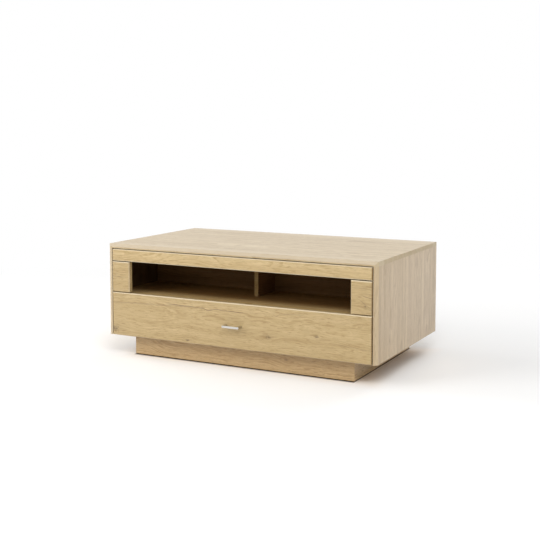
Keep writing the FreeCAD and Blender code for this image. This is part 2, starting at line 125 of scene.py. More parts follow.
def addBump(tree, shader, height, strength, distance):
    item = addNode(tree, "ShaderNodeBump", {"Strength": strength, "Distance": distance, "Height": height})
    feed(tree, shader.inputs["Normal"], item.outputs[0])


def newMaterial(name):
    material = bpy.data.materials.new(name)
    material.use_nodes = True
    tree = material.node_tree
    return material, tree, tree.nodes["Principled BSDF"]


def objectPlace(tree):
    return addNode(tree, "ShaderNodeTexCoord").outputs["Object"]


def newGroup(name, inputs, outputs):
    tree = bpy.data.node_groups.new(name, "ShaderNodeTree")
    sockets = {"vectors": "NodeSocketVector", "values": "NodeSocketFloat"}
    for side, wanted in (("INPUT", inputs), ("OUTPUT", outputs)):
        for kind, labels in wanted.items():
            for label in labels:
                tree.interface.new_socket(name=label, in_out=side, socket_type=sockets[kind])
    return tree, addNode(tree, "NodeGroupInput").outputs, addNode(tree, "NodeGroupOutput").inputs


def useGroup(tree, group, **values):
    return addNode(tree, "ShaderNodeGroup", values, node_tree=group).outputs


# wood figure: staves cut from a log, with growth rings, streaks, fibre, dashes and pores
# its position runs along the grain, across the board and into the board
# a noise is given as its stretch in these directions, its detail and, where it isn't 0.5, its roughness

woodFigureSettings = {
    "ownShift": (7.0, 3.0, 3.0),     # staves take their noises from places up to this far apart
    "heartDepth": (0.016, 0.055),    # nearest and spread of the log's heart below the face
    "taper": 0.09,                   # how fast the heart leaves the face along the grain
    "swellNoise": ((4.5, 2.0, 2.0), 1.0),
    "swell": 0.080,                  # slow rise and fall of the heart along the grain
    "warpNoise": ((3.4, 13.0, 13.0), 2.0),
    "warp": 0.022,
    "rippleNoise": ((24.0, 75.0, 75.0), 2.0),
    "ripple": 0.0060,
    "ringNoise": ((0.45, 1.0, 1.0), 1.0),
    "ringShift": 2.6,                # how far rings differ in width
    "lateWood": (0.20, 0.88, 1.0),   # where in a ring the late wood begins, is darkest and stops
    "lateMean": 0.3,                 # late wood above this darkens the tone, and below it lightens it
    "clearNoise": ((2.6, 18.0, 18.0), 2.0),
    "clearLevel": (-0.16, 0.16, 0.25, 1.0),
    "breakNoise": ((15.0, 130.0, 130.0), 3.0),   # late wood shows in broken lines
    "breakLevel": (-0.12, 0.16, 0.05, 1.0),
    "streakNoise": ((0.9, 40.0, 40.0), 4.0, 0.6),
    "fibreNoise": ((20.0, 350.0, 350.0), 2.0),
    "fibreHeight": 0.5,
    "dashNoise": ((36.0, 290.0, 290.0), 1.0),
    "dashLevel": (0.07, 0.20),
    "dashShare": 0.55,               # strength of the dashes beside the fibre's
    "meanTone": 0.44,
    "poreNoise": ((60.0, 1700.0, 1700.0), 1.0),
    "poreLevel": (0.10, 0.22),
    "poreRing": (0.9, 0.3),          # pores thin out towards the late wood
}


def makeWoodFigure():
    s = woodFigureSettings
    tree, given, put = newGroup(
        "woodFigure",
        {"vectors": ["Position"], "values": ["Stave", "Seed", "Heart", "Ring", "Figure", "Streak", "Fibre"]},
        {"values": ["Tone", "Stave Tone", "Pores", "Height"]})
    position = given["Position"]
    along, across = splitVector(tree, position)[:2]
    # each stave draws its place in the log
    place = calc(tree, "ADD", calc(tree, "DIVIDE", across, given["Stave"]), given["Seed"])
    inStave = calc(tree, "SUBTRACT", calc(tree, "FRACT", place), 0.5)
    fromMiddle = calc(tree, "MULTIPLY", inStave, given["Stave"])
    pair = joinVector(tree, calc(tree, "FLOOR", place), given["Seed"])
    draw = addNode(tree, "ShaderNodeTexWhiteNoise", {"Vector": pair}, noise_dimensions="2D").outputs["Color"]
    drawn = addNode(tree, "ShaderNodeSeparateColor", {0: draw}).outputs
    own = vectorCalc(tree, "ADD", position, vectorCalc(tree, "MULTIPLY", draw, s["ownShift"]))
    # distance from the heart of the log, in rings
    warp = calc(tree, "MULTIPLY", noise(tree, own, *s["warpNoise"]), s["warp"])
    warp = calc(tree, "MULTIPLY_ADD", noise(tree, own, *s["rippleNoise"]), s["ripple"], warp)
    heartSide = calc(tree, "MULTIPLY", calc(tree, "SUBTRACT", drawn[0], 0.5), given["Stave"])
    sideways = calc(tree, "ADD", calc(tree, "MULTIPLY_ADD", heartSide, given["Heart"], fromMiddle), warp)
    nearest, spread = s["heartDepth"]
    taper = calc(tree, "MULTIPLY", calc(tree, "SUBTRACT", drawn[2], 0.5), s["taper"])
    deep = calc(tree, "MULTIPLY_ADD", drawn[1], spread, nearest)
    deep = calc(tree, "ADD", calc(tree, "MULTIPLY_ADD", along, taper, deep), warp)
    deep = calc(tree, "MULTIPLY_ADD", noise(tree, own, *s["swellNoise"]), s["swell"], deep)
    squares = [calc(tree, "MULTIPLY", leg, leg) for leg in (sideways, deep)]
    rings = calc(tree, "DIVIDE", calc(tree, "SQRT", calc(tree, "ADD", *squares)), given["Ring"])
    uneven = noise(tree, joinVector(tree, rings, given["Seed"]), *s["ringNoise"])
    ring = calc(tree, "FRACT", calc(tree, "MULTIPLY_ADD", uneven, s["ringShift"], rings))
    begins, darkest, stops = s["lateWood"]
    late = calc(tree, "MULTIPLY", ramp(tree, ring, begins, darkest), ramp(tree, ring, stops, darkest))
    clear = ramp(tree, noise(tree, own, *s["clearNoise"]), *s["clearLevel"])
    broken = ramp(tree, noise(tree, own, *s["breakNoise"]), *s["breakLevel"])
    late = calc(tree, "MULTIPLY", calc(tree, "SUBTRACT", late, s["lateMean"]),
                calc(tree, "MULTIPLY", clear, broken))
    # streaks, fibre, dashes and pores along the grain
    streak = noise(tree, own, *s["streakNoise"])
    fibre = noise(tree, own, *s["fibreNoise"])
    dash = ramp(tree, noise(tree, own, *s["dashNoise"]), *s["dashLevel"])
    tone = calc(tree, "MULTIPLY_ADD", late, given["Figure"], s["meanTone"])
    tone = calc(tree, "MULTIPLY_ADD", streak, given["Streak"], tone)
    tone = calc(tree, "MULTIPLY_ADD", dash, calc(tree, "MULTIPLY", given["Fibre"], s["dashShare"]), tone)
    tone = calc(tree, "MULTIPLY_ADD", fibre, given["Fibre"], tone, clamp=True)
    pores = ramp(tree, noise(tree, own, *s["poreNoise"]), *s["poreLevel"])
    pores = calc(tree, "MULTIPLY", pores, ramp(tree, ring, *s["poreRing"]))
    feed(tree, put["Tone"], tone)
    feed(tree, put["Stave Tone"], calc(tree, "SUBTRACT", drawn[1], 0.5))
    feed(tree, put["Pores"], pores)
    raised = calc(tree, "MULTIPLY", fibre, s["fibreHeight"])
    feed(tree, put["Height"], calc(tree, "SUBTRACT", raised, pores))
    return tree


# knot: bends the grain round itself, with a ragged dark core and a faint halo

knotSettings = {
    "slim": (0.55, 1.0, 0.0),   # longer along the grain
    "bend": -0.75,
    "bendFall": 0.10,           # how fast the bend dies away from the knot
    "edgeNoise": ((110.0, 190.0, 0.0), 3.0, 0.65),
    "ragged": 2.4,
    "core": (1.1, -0.2),        # in radii
    "coreReach": (2.4, 0.8),
    "halo": 0.10,
    "haloFall": 0.22,
}


def makeKnot():
    s = knotSettings
    tree, given, put = newGroup("woodKnot", {"vectors": ["Position", "Centre"], "values": ["Radius"]},
                                {"vectors": ["Position"], "values": ["Core"]})
    offset = vectorCalc(tree, "SUBTRACT", given["Position"], given["Centre"])
    slim = vectorCalc(tree, "MULTIPLY", offset, s["slim"])
    reach = calc(tree, "DIVIDE", vectorCalc(tree, "LENGTH", slim), given["Radius"])
    squared = calc(tree, "MULTIPLY", reach, reach)
    pull = calc(tree, "MULTIPLY", splitVector(tree, offset)[1], bell(tree, squared, s["bendFall"]))
    bend = joinVector(tree, 0.0, calc(tree, "MULTIPLY", pull, s["bend"]))
    feed(tree, put["Position"], vectorCalc(tree, "ADD", given["Position"], bend))
    wobble = noise(tree, given["Position"], *s["edgeNoise"])
    ragged = calc(tree, "MULTIPLY_ADD", wobble, s["ragged"], reach)
    core = calc(tree, "MULTIPLY", ramp(tree, ragged, *s["core"]), ramp(tree, reach, *s["coreReach"]))
    halo = calc(tree, "MULTIPLY", bell(tree, squared, s["haloFall"]), s["halo"])
    feed(tree, put["Core"], largest(tree, core, halo))
    return tree


# crack: a thin dark line along the grain, with one dip in its course
# a crack is listed as these values in this order, its lengths in metres

crackWords = ("Start", "End", "Level", "Slope", "Dip", "Dip At", "Dip Reach", "Width", "Depth")
crackSettings = {
    "wanderNoise": ((38.0, 0.0, 0.0), 3.0),
    "wander": 0.006,
    "widthNoise": ((55.0, 0.0, 7.0), 2.0),
    "widthChange": 1.6,
    "edge": (1.0, 0.2),   # where its dark begins and is full, in widths from the middle
    "fade": 0.04,         # length of its faint ends
}


def makeCrack():
    s = crackSettings
    tree, given, put = newGroup("woodCrack", {"vectors": ["Position"], "values": crackWords},
                                {"values": ["Line"]})
    along, across = splitVector(tree, given["Position"])[:2]
    fromDip = calc(tree, "SUBTRACT", along, given["Dip At"])
    inDip = calc(tree, "DIVIDE", fromDip, given["Dip Reach"])
    dip = bell(tree, calc(tree, "MULTIPLY", inDip, inDip), 1.0)
    wander = noise(tree, given["Position"], *s["wanderNoise"])
    course = calc(tree, "MULTIPLY_ADD", fromDip, given["Slope"], given["Level"])
    course = calc(tree, "MULTIPLY_ADD", dip, calc(tree, "MULTIPLY", given["Dip"], -1.0), course)
    course = calc(tree, "MULTIPLY_ADD", wander, s["wander"], course)
    off = calc(tree, "ABSOLUTE", calc(tree, "SUBTRACT", across, course))
    swell = noise(tree, given["Position"], *s["widthNoise"])
    thick = calc(tree, "MULTIPLY_ADD", swell, s["widthChange"], 1.0)
    line = ramp(tree, calc(tree, "DIVIDE", off, calc(tree, "MULTIPLY", given["Width"], thick)), *s["edge"])
    begun = ramp(tree, along, given["Start"], calc(tree, "ADD", given["Start"], s["fade"]))
    over = ramp(tree, along, calc(tree, "SUBTRACT", given["End"], s["fade"]), given["End"], 1.0, 0.0)
    line = calc(tree, "MULTIPLY", line, calc(tree, "MULTIPLY", begun, over))
    feed(tree, put["Line"], calc(tree, "MULTIPLY", line, given["Depth"]))
    return tree


# faces of a board: eased edges, which lie aslant and carry a painted highlight, tops, and faces that look out
# of the table or into it

boardFaceSettings = {
    "ease": (0.97, 0.80),     # largest part of the normal, on a face and on an eased edge
    "tilt": (0.1, 0.6),       # part of the normal that looks up or down
    "top": (0.85, 0.97),
    "outer": (0.26, 0.44),    # metres from the table's middle
    "inner": (-0.25, -0.40),  # the same for faces that look towards it
}


def makeBoardFaces():
    s = boardFaceSettings
    tree, given, put = newGroup(
        "boardFaces", {"vectors": ["Position", "Normal"], "values": ["Upright", "Under", "Left"]},
        {"values": ["Ease", "Top", "Outer", "Inner"]})
    facing = splitVector(tree, given["Normal"])
    most = largest(tree, *[calc(tree, "ABSOLUTE", part) for part in facing])
    # painted highlight: edges that look up get the most of it
    slight, full = s["tilt"]
    upper = ramp(tree, facing[2], slight, full, given["Upright"], 1.0)
    lower = ramp(tree, facing[2], -slight, -full, given["Upright"], given["Under"])
    looksUp = calc(tree, "GREATER_THAN", facing[2], 0.0)
    rubbed = calc(tree, "MULTIPLY_ADD", calc(tree, "SUBTRACT", upper, lower), looksUp, lower)
    feed(tree, put["Ease"], calc(tree, "MULTIPLY", ramp(tree, most, *s["ease"]), rubbed))
    feed(tree, put["Top"], ramp(tree, facing[2], *s["top"]))
    outward = calc(tree, "MULTIPLY", splitVector(tree, given["Position"])[0], facing[0])
    looksLeft = calc(tree, "LESS_THAN", facing[0], 0.0)
    share = calc(tree, "MULTIPLY_ADD", looksLeft, calc(tree, "SUBTRACT", given["Left"], 1.0), 1.0)
    feed(tree, put["Outer"], calc(tree, "MULTIPLY", ramp(tree, outward, *s["outer"]), share))
    feed(tree, put["Inner"], ramp(tree, outward, *s["inner"]))
    return tree


woodFigure = makeWoodFigure()
woodKnot = makeKnot()
woodCrack = makeCrack()
boardFaces = makeBoardFaces()


# one wood material; grain names the axes along, across and into the board

def findMarks(tree, turned, s):
    # knots bend the grain, and cracks lie on the board as it was
    position = turned
    marks = []
    for along, across, radius in s["knots"]:
        knot = useGroup(tree, woodKnot, Position=position, Centre=(along, across, 0.0), Radius=radius)
        position = knot["Position"]
        marks.append(knot["Core"])
    for crack in s["cracks"]:
        marks.append(useGroup(tree, woodCrack, Position=turned, **dict(zip(crackWords, crack)))["Line"])
    return position, marks


def woodColour(tree, figure, marks, s):
    colour = blendColour(tree, figure["Tone"], opaque(s["pale"]), opaque(s["dark"]))
    level = addNode(tree, "ShaderNodeCombineColor")
    for socket, share in zip(level.inputs, s["staveTint"]):
        feed(tree, socket, calc(tree, "MULTIPLY_ADD", figure["Stave Tone"], s["staveTone"] * share, 1.0))
    colour = blendColour(tree, 1.0, colour, level.outputs[0], "MULTIPLY")
    pores = calc(tree, "MULTIPLY", figure["Pores"], s["pores"])
    colour = blendColour(tree, pores, colour, opaque(s["pore"]))
    if marks:
        dark = calc(tree, "MULTIPLY", largest(tree, *marks), s["markStrength"])
        colour = blendColour(tree, dark, colour, opaque(s["mark"]))
    return colour


def darkenInside(tree, depth, faces, colour, s):
    # painted shade behind a board's front edge, deeper in the niche; side panels only where they look in, up
    # to edges with a painted highlight
    front = -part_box(s["insideOf"])[0].y
    reach = calc(tree, "ABSOLUTE", depth)
    inward = ramp(tree, reach, *[front - behind for behind in s["insideTo"]])
    if "insideEdge" in s:
        inward = calc(tree, "MULTIPLY", faces["Inner"], inward)
        edge = ramp(tree, reach, *[front - behind for behind in s["insideEdge"]])
        colour = blendColour(tree, calc(tree, "MULTIPLY", faces["Inner"], edge), colour, opaque(s["ease"]))
    return blendColour(tree, inward, colour, opaque(s["inside"]), "MULTIPLY"), inward


def woodMaterial(name, s):
    material, tree, shader = newMaterial(name)
    coordinates = addNode(tree, "ShaderNodeTexCoord").outputs
    axes = dict(zip("xyz", splitVector(tree, coordinates["Object"])))
    turned = joinVector(tree, *[axes[axis] for axis in s["grain"]])
    faces = useGroup(tree, boardFaces, Position=coordinates["Object"], Normal=coordinates["Normal"],
                     Upright=s["rubbed"], Under=s["rubbedUnder"], Left=s["endLeft"])
    position, marks = findMarks(tree, turned, s)
    figure = useGroup(tree, woodFigure, Position=position, Stave=s["stave"], Seed=s["seed"], Heart=s["heart"],
                      Ring=s["ring"], Figure=s["figure"], Streak=s["streak"], Fibre=s["fibre"])
    colour = woodColour(tree, figure, marks, s)
    # end grain tone, which also paints shade in the gaps, and painted shade on top faces that lie in a gap
    ends = calc(tree, "MULTIPLY", faces["Outer"], s["endTone"])
    tops = calc(tree, "MULTIPLY", faces["Top"], s["topTone"])
    for share in (ends, tops):
        colour = blendColour(tree, share, colour, opaque(s["end"]), s["endMode"])
    # painted highlight on the eased edges, less on the ends
    worn = calc(tree, "MULTIPLY_ADD", ends, -s["easeTone"], s["easeTone"])
    colour = blendColour(tree, calc(tree, "MULTIPLY", faces["Ease"], worn), colour, opaque(s["ease"]))
    matt = largest(tree, ends, tops)
    # painted shade in the niche, behind the front edges
    if "inside" in s:
        colour, inward = darkenInside(tree, axes["y"], faces, colour, s)
        matt = largest(tree, matt, inward)
    feed(tree, shader.inputs["Base Color"], colour)
    feed(tree, shader.inputs["Coat Weight"], calc(tree, "MULTIPLY_ADD", matt, -s["lacquer"], s["lacquer"]))
    smoothest = s["roughness"] - s["roughnessSpread"] / 2
    rough = calc(tree, "MULTIPLY_ADD", figure["Tone"], s["roughnessSpread"], smoothest)
    feed(tree, shader.inputs["Roughness"], rough)
    shader.inputs["Specular IOR Level"].default_value = s["specular"]
    shader.inputs["Coat Roughness"].default_value = s["lacquerRoughness"]
    addBump(tree, shader, figure["Height"], *s["bump"])
    return material


oak = {
    "pale": (0.618, 0.470, 0.248),
    "dark": (0.400, 0.273, 0.115),
    "pore": (0.230, 0.140, 0.060),
    "pores": 0.55,
    "mark": (0.120, 0.070, 0.033),
    "markStrength": 0.70,
    "knots": (),                     # each as its places along and across the grain and its radius
    "cracks": (),
    "roughness": 0.46,
    "roughnessSpread": 0.10,
    "specular": 0.2,
    "lacquer": 0.8,
    "lacquerRoughness": 0.30,
    "bump": (0.35, 0.0004),          # strength and distance
    "heart": 0.8,                    # how far the log's heart strays from the middle of a stave
    "ring": 0.0105,
    "figure": 0.85,
    "streak": 1.05,
    "fibre": 0.62,
    "staveTone": 0.10,
    "staveTint": (0.8, 1.0, 1.5),    # paler staves are greyer too
    "ease": (0.760, 0.655, 0.470),   # painted highlight along the eased edges
    "easeTone": 0.85,
    "rubbed": 0.12,                  # share of the painted highlight on upright edges, less than on those that look up
    "rubbedUnder": 0.10,
    "end": (0.30, 0.22, 0.14),       # end grain drinks the finish and is darker; this tone also paints the shade in the gaps between boards
    "endMode": "MULTIPLY",
    "endTone": 0.0,
    "endLeft": 0.0,                  # share of it at the left end; ends that look right take the painted gap shade
    "topTone": 0.0,                  # painted shade in the same tone, on top faces that lie in a gap
    # where given, the inside tone is a painted shade behind the front edge of the board insideOf,
    # between the depths insideTo, and insideEdge are the depths where a painted highlight along the edge ends
}
oakUpper = {**oak, "grain": "xyz", "endMode": "MIX", "endTone": 0.75, "endLeft": 1.0}
oakFront = {**oak, "grain": "xzy", "stave": 0.420, "ring": 0.0058, "figure": 0.9, "heart": 0.15,
            "fibre": 0.95, "endTone": 0.9}
oakFoot = {**oak, "stave": 0.160, "fibre": 1.1, "streak": 1.3, "pores": 0.8, "ring": 0.0070,
           "pale": (0.635, 0.455, 0.245), "dark": (0.415, 0.265, 0.115)}
# boards inside the table are left matt
oakInside = {**oak, "specular": 0.1, "lacquer": 0.0, "roughness": 0.60}
boxWood = {**oak, "stave": 0.130, "pale": (0.70, 0.58, 0.39), "dark": (0.60, 0.46, 0.27), "pores": 0.2,
           "figure": 0.3, "roughness": 0.40}
spruce = {**oak, "stave": 0.090, "pale": (0.72, 0.57, 0.33), "dark": (0.55, 0.37, 0.17), "lacquer": 0.0,
          "pores": 0.0, "ring": 0.004, "figure": 0.6, "roughness": 0.6}

woods = {
    "oakTop": {
        **oakUpper, "stave": 0.128, "seed": 3.27, "ring": 0.016, "lacquer": 0.66,
        "pale": (0.588, 0.458, 0.264), "dark": (0.383, 0.270, 0.127), "figure": 1.2, "streak": 1.7,
        "fibre": 1.2, "end": (0.525, 0.415, 0.260)},
    "oakLip": {
        **oakUpper, "stave": 0.240, "seed": 8.61, "lacquer": 0.62,
        "pale": (0.610, 0.488, 0.305), "dark": (0.400, 0.292, 0.152), "ease": (0.580, 0.490, 0.365),
        "easeTone": 0.70, "end": (0.600, 0.500, 0.335)},
    "oakSide": {
        **oak, "grain": "zyx", "stave": 0.088, "seed": 5.43, "staveTone": 0.20, "ring": 0.016, "streak": 1.4,
        "pale": (0.630, 0.480, 0.288), "dark": (0.405, 0.276, 0.146), "easeTone": 0.6, "rubbed": 0.40,
        "inside": (0.17, 0.13, 0.09), "insideOf": "right_side_panel", "insideTo": (0.020, 0.024),
        "insideEdge": (0.011, 0.009),
        "cracks": [(0.13, 0.30, 0.2952, 0.03, 0.004, 0.223, 0.016, 0.0024, 0.35),
                   (0.12, 0.31, -0.2952, 0.03, -0.004, 0.223, 0.016, 0.0024, 0.45),
                   (0.10, 0.26, 0.2870, 0.02, 0.0, 0.20, 0.02, 0.0030, 0.30)]},
    "oakRail": {
        **oak, "grain": "xzy", "stave": 0.300, "seed": 2.22, "topTone": 1.0, "endTone": 1.0, "heart": 0.2,
        "ring": 0.0070, "figure": 1.0, "streak": 0.7, "fibre": 0.8, "rubbedUnder": 1.0,
        "pale": (0.640, 0.486, 0.256), "dark": (0.410, 0.280, 0.118)},
    "oakBlock": {
        **oak, "grain": "xzy", "stave": 0.200, "seed": 6.72, "topTone": 1.0, "endTone": 1.0, "rubbed": 0.40,
        "ring": 0.0070, "fibre": 1.0, "markStrength": 0.85,
        "knots": [(0.506, 0.2725, 0.0045)],
        "cracks": [(0.440, 0.580, 0.3345, 0.0, 0.0, 0.490, 0.02, 0.0110, 0.16),
                   (0.470, 0.580, 0.3400, -0.03, 0.0015, 0.500, 0.012, 0.0018, 0.25),
                   (0.475, 0.560, 0.3160, -0.10, 0.0, 0.510, 0.02, 0.0045, 0.20),
                   (0.475, 0.580, 0.3050, -0.23, 0.0, 0.508, 0.02, 0.0022, 0.60),
                   (0.460, 0.550, 0.2830, -0.66, 0.0, 0.500, 0.02, 0.0024, 0.45),
                   (0.485, 0.560, 0.2660, -0.20, 0.0, 0.507, 0.02, 0.0050, 0.28),
                   (-0.580, -0.460, 0.3010, -0.03, -0.0012, -0.510, 0.02, 0.0020, 0.45)]},
    "oakDrawer": {
        **oakFront, "seed": 7.131, "markStrength": 0.85,
        "knots": [(-0.522, 0.100, 0.015), (0.140, 0.132, 0.008), (0.330, 0.1515, 0.006),
                  (-0.195, 0.087, 0.006)],
        "cracks": [(-0.30, 0.06, 0.2115, -0.018, 0.0065, -0.105, 0.016, 0.0020, 0.80),
                   (-0.60, -0.16, 0.2100, 0.030, 0.0, -0.24, 0.02, 0.0040, 0.26),
                   (0.145, 0.30, 0.2185, 0.030, 0.0090, 0.172, 0.012, 0.0014, 0.50),
                   (0.38, 0.55, 0.1310, -0.080, 0.0, 0.42, 0.02, 0.0022, 0.25)]},
    "oakDrawerRear": {
        **oakFront, "seed": 9.131,
        "knots": [(0.250, 0.180, 0.009), (-0.310, 0.120, 0.007)],
        "cracks": [(-0.05, 0.28, 0.140, 0.030, 0.005, 0.120, 0.022, 0.0015, 0.75),
                   (-0.50, -0.25, 0.196, -0.025, 0.003, -0.38, 0.015, 0.0016, 0.45)]},
    "oakPlinth": {**oakFoot, "grain": "xzy", "seed": 7.24, "knots": [(0.192, 0.0490, 0.0060)]},
    "oakPlinthEnd": {**oakFoot, "grain": "yzx", "seed": 1.83},
    # painted shade: the niche's shelf, wall and divider take darker oak tones than the outer boards
    "oakShelf": {
        **oakInside, "grain": "xyz", "stave": 0.110, "seed": 12.4,
        "pale": (0.515, 0.368, 0.182), "dark": (0.330, 0.213, 0.084),
        "inside": (0.45, 0.36, 0.27), "insideOf": "niche_shelf", "insideTo": (0.024, 0.114)},
    "oakWall": {
        **oakInside, "grain": "xzy", "stave": 0.140, "seed": 10.9,
        "pale": (0.226, 0.127, 0.053), "dark": (0.140, 0.070, 0.024)},
    "oakDivider": {
        **oakInside, "grain": "yzx", "stave": 0.140, "seed": 14.1,
        "pale": (0.384, 0.262, 0.115), "dark": (0.240, 0.146, 0.053),
        "inside": (0.58, 0.44, 0.42), "insideOf": "front_divider", "insideTo": (0.0005, 0.0025)},
    "boxBoard": {**boxWood, "grain": "xzy", "seed": 21.7},
    "boxSideBoard": {**boxWood, "grain": "yzx", "seed": 24.2},
    "plywoodSheet": {
        **oak, "grain": "xyz", "stave": 0.600, "seed": 27.3, "pale": (0.72, 0.60, 0.41),
        "dark": (0.62, 0.48, 0.29), "pores": 0.15, "ring": 0.018, "roughness": 0.5},
    "spruceCleat": {**spruce, "grain": "xyz", "seed": 31.8},
    "spruceUpright": {**spruce, "grain": "zxy", "seed": 33.5},
    "spruceBrace": {**spruce, "grain": "yzx", "seed": 35.1},
    "beechDowel": {
        **oak, "grain": "xyz", "stave": 0.300, "seed": 38.6, "pale": (0.60, 0.42, 0.24), "lacquer": 0.0,
        "dark": (0.50, 0.33, 0.17), "pores": 0.3, "ring": 0.006, "roughness": 0.55},
}

materials = {name: woodMaterial(name, settings) for name, settings in woods.items()}
print("wood materials:", len(materials))


# brushed metal, plastic and rubber: a fine grain in two tones

grainedFinishes = {
    "satinMetal": {
        "colour": (0.64, 0.62, 0.59), "other": (0.54, 0.52, 0.48), "metallic": 1.0, "roughness": 0.14,
        "roughnessSpread": 0.10, "noise": ((30.0, 2600.0, 2600.0), 3.0), "bump": (0.12, 0.0002)},
    "glidePlastic": {
        "colour": (0.030, 0.025, 0.020), "other": (0.045, 0.038, 0.030), "metallic": 0.0, "roughness": 0.55,
        "noise": ((2400.0, 2400.0, 2400.0), 3.0), "bump": (0.2, 0.0002)},
    "bumperRubber": {
        "colour": (0.62, 0.62, 0.60), "other": (0.54, 0.54, 0.52), "metallic": 0.0, "roughness": 0.45,
        "noise": ((1600.0, 1600.0, 1600.0), 3.0), "bump": (0.2, 0.0002)},
}


def grainedMaterial(name, s):
    material, tree, shader = newMaterial(name)
    grain = noise(tree, objectPlace(tree), *s["noise"])
    mix = calc(tree, "ADD", grain, 0.5, clamp=True)
    rough = s["roughness"]
    if "roughnessSpread" in s:
        rough = calc(tree, "MULTIPLY_ADD", grain, s["roughnessSpread"], rough)
    feed(tree, shader.inputs["Base Color"], blendColour(tree, mix, opaque(s["colour"]), opaque(s["other"])))
    feed(tree, shader.inputs["Roughness"], rough)
    feed(tree, shader.inputs["Metallic"], s["metallic"])
    addBump(tree, shader, grain, *s["bump"])
    return material


# zinc on runners and screws: crystals, each with its own tone and roughness

zincFinish = {
    "colour": (0.60, 0.61, 0.62),
    "dull": (0.47, 0.48, 0.50),
    "roughness": 0.29,
    "roughnessSpread": 0.14,
    "crystals": {"runnerZinc": 0.006, "screwZinc": 0.003},
}


def zincMaterial(name, crystal):
    s = zincFinish
    material, tree, shader = newMaterial(name)
    cells = addNode(tree, "ShaderNodeTexVoronoi", {"Vector": objectPlace(tree), "Scale": 1.0 / crystal})
    drawn = addNode(tree, "ShaderNodeSeparateColor", {0: cells.outputs["Color"]}).outputs
    colour = blendColour(tree, drawn[0], opaque(s["colour"]), opaque(s["dull"]))
    rough = calc(tree, "MULTIPLY_ADD", drawn[1], s["roughnessSpread"], s["roughness"])
    feed(tree, shader.inputs["Base Color"], colour)
    feed(tree, shader.inputs["Roughness"], rough)
    feed(tree, shader.inputs["Metallic"], 1.0)
    return material


materials.update({name: grainedMaterial(name, settings) for name, settings in grainedFinishes.items()})
materials.update({name: zincMaterial(name, crystal) for name, crystal in zincFinish["crystals"].items()})
print("materials:", len(materials))


# each node gets the finish of its piece, by its name or else by the first ending that fits

finishByName = {
    "top_panel": "oakTop", "bottom_panel": "oakShelf", "niche_shelf": "oakShelf",
    "plinth_front": "oakPlinth", "plinth_rear": "oakPlinth", "plinth_left": "oakPlinthEnd",
    "plinth_right": "oakPlinthEnd", "plinth_brace": "spruceBrace", "plinth_corner_blocks": "spruceUpright",
    "rail_cleats": "spruceCleat", "block_cleats": "spruceUpright", "dowels": "beechDowel",
    "glides": "glidePlastic", "rear_drawer_front": "oakDrawerRear",
}
finishByEnding = {
    "_drawer_front": "oakDrawer", "_top_rail": "oakRail", "_block": "oakBlock", "_lip": "oakLip",
    "_side_panel": "oakSide", "_centre_wall": "oakWall", "_divider": "oakDivider",
    "_box_front": "boxBoard", "_box_back": "boxBoard", "_drawer_left_side": "boxSideBoard",
    "_drawer_right_side": "boxSideBoard", "_drawer_bottom": "plywoodSheet", "_screws": "screwZinc",
    "_rail": "runnerZinc", "_middle_rails": "runnerZinc", "_handle": "satinMetal", "_bumpers": "bumperRubber",
}


def finishOf(name):
    if name in finishByName:
        return finishByName[name]
    return next(finish for ending, finish in finishByEnding.items() if name.endswith(ending))


for nodeName, item in nodes.items():
    item.data.materials.clear()
    item.data.materials.append(materials[finishOf(nodeName)])
print("finishes set")


# screws: heads with a cross recess and pointed shanks, set where the CAD screws are

screwSettings = {
    "Sides": 20,
    "Head Taper": 0.84,      # top of the head, as a share of its foot
    "Recess Width": 0.26,    # as shares of the head's radius and height
    "Recess Reach": 1.20,
    "Recess Depth": 0.55,
    "Point": 0.14,           # share of the shank that runs to a point
    "Tip": 0.2,              # radius at its end, as a share of the shank's
    "Seed": 11,
}
screwReading = {
    "merge": 1e-6,           # points this close are one
    "sameLevel": 1e-5,
    "headShare": 0.9,        # points beyond this share of the largest radius belong to the head
}
screwSets = {
    "carcassScrews": ("carcass", ["cabinet_screws", "runner_screws"]),
    "frontDrawerScrews": ("front_drawer", ["front_drawer_screws", "front_handle_screws"]),
    "rearDrawerScrews": ("rear_drawer", ["rear_drawer_screws", "rear_handle_screws"]),
}


def measureScrew(points):
    # its length lies along one axis, and its head is the wide end
    s = screwReading
    low = Vector([min(point[i] for point in points) for i in range(3)])
    high = Vector([max(point[i] for point in points) for i in range(3)])
    axis = max(range(3), key=lambda i: high[i] - low[i])
    middle = (low + high) / 2

    def radius(point):
        away = point - middle
        away[axis] = 0.0
        return away.length

    widest = max(radius(point) for point in points)
    head = [point[axis] for point in points if radius(point) > s["headShare"] * widest]
    forward = 1.0 if abs(min(head) - low[axis]) < s["sameLevel"] else -1.0
    seatLevel, tipLevel = (max(head), high[axis]) if forward > 0 else (min(head), low[axis])
    slim = max(radius(point) for point in points if abs(point[axis] - tipLevel) < s["sameLevel"])
    seat = middle.copy()
    seat[axis] = seatLevel
    drive = Vector((0.0, 0.0, 0.0))
    drive[axis] = forward
    return {
        "seat": seat,
        "drive": drive,
        "headSize": Vector((widest, widest, max(head) - min(head))),
        "shankSize": Vector((slim, slim, abs(tipLevel - seatLevel))),
    }


def readScrews(names):
    found = []
    for name in names:
        work = bmesh.new()
        work.from_mesh(nodes[name].data)
        bmesh.ops.remove_doubles(work, verts=work.verts, dist=screwReading["merge"])
        left = dict.fromkeys(work.verts)   # keeps their order, so that every run finds the screws alike
        while left:
            waiting = [left.popitem()[0]]
            points = []
            while waiting:
                vert = waiting.pop()
                points.append(vert.co.copy())
                for link in vert.link_edges:
                    other = link.other_vert(vert)
                    if other in left:
                        left.pop(other)
                        waiting.append(other)
            found.append(measureScrew(points))
        work.free()
    return found


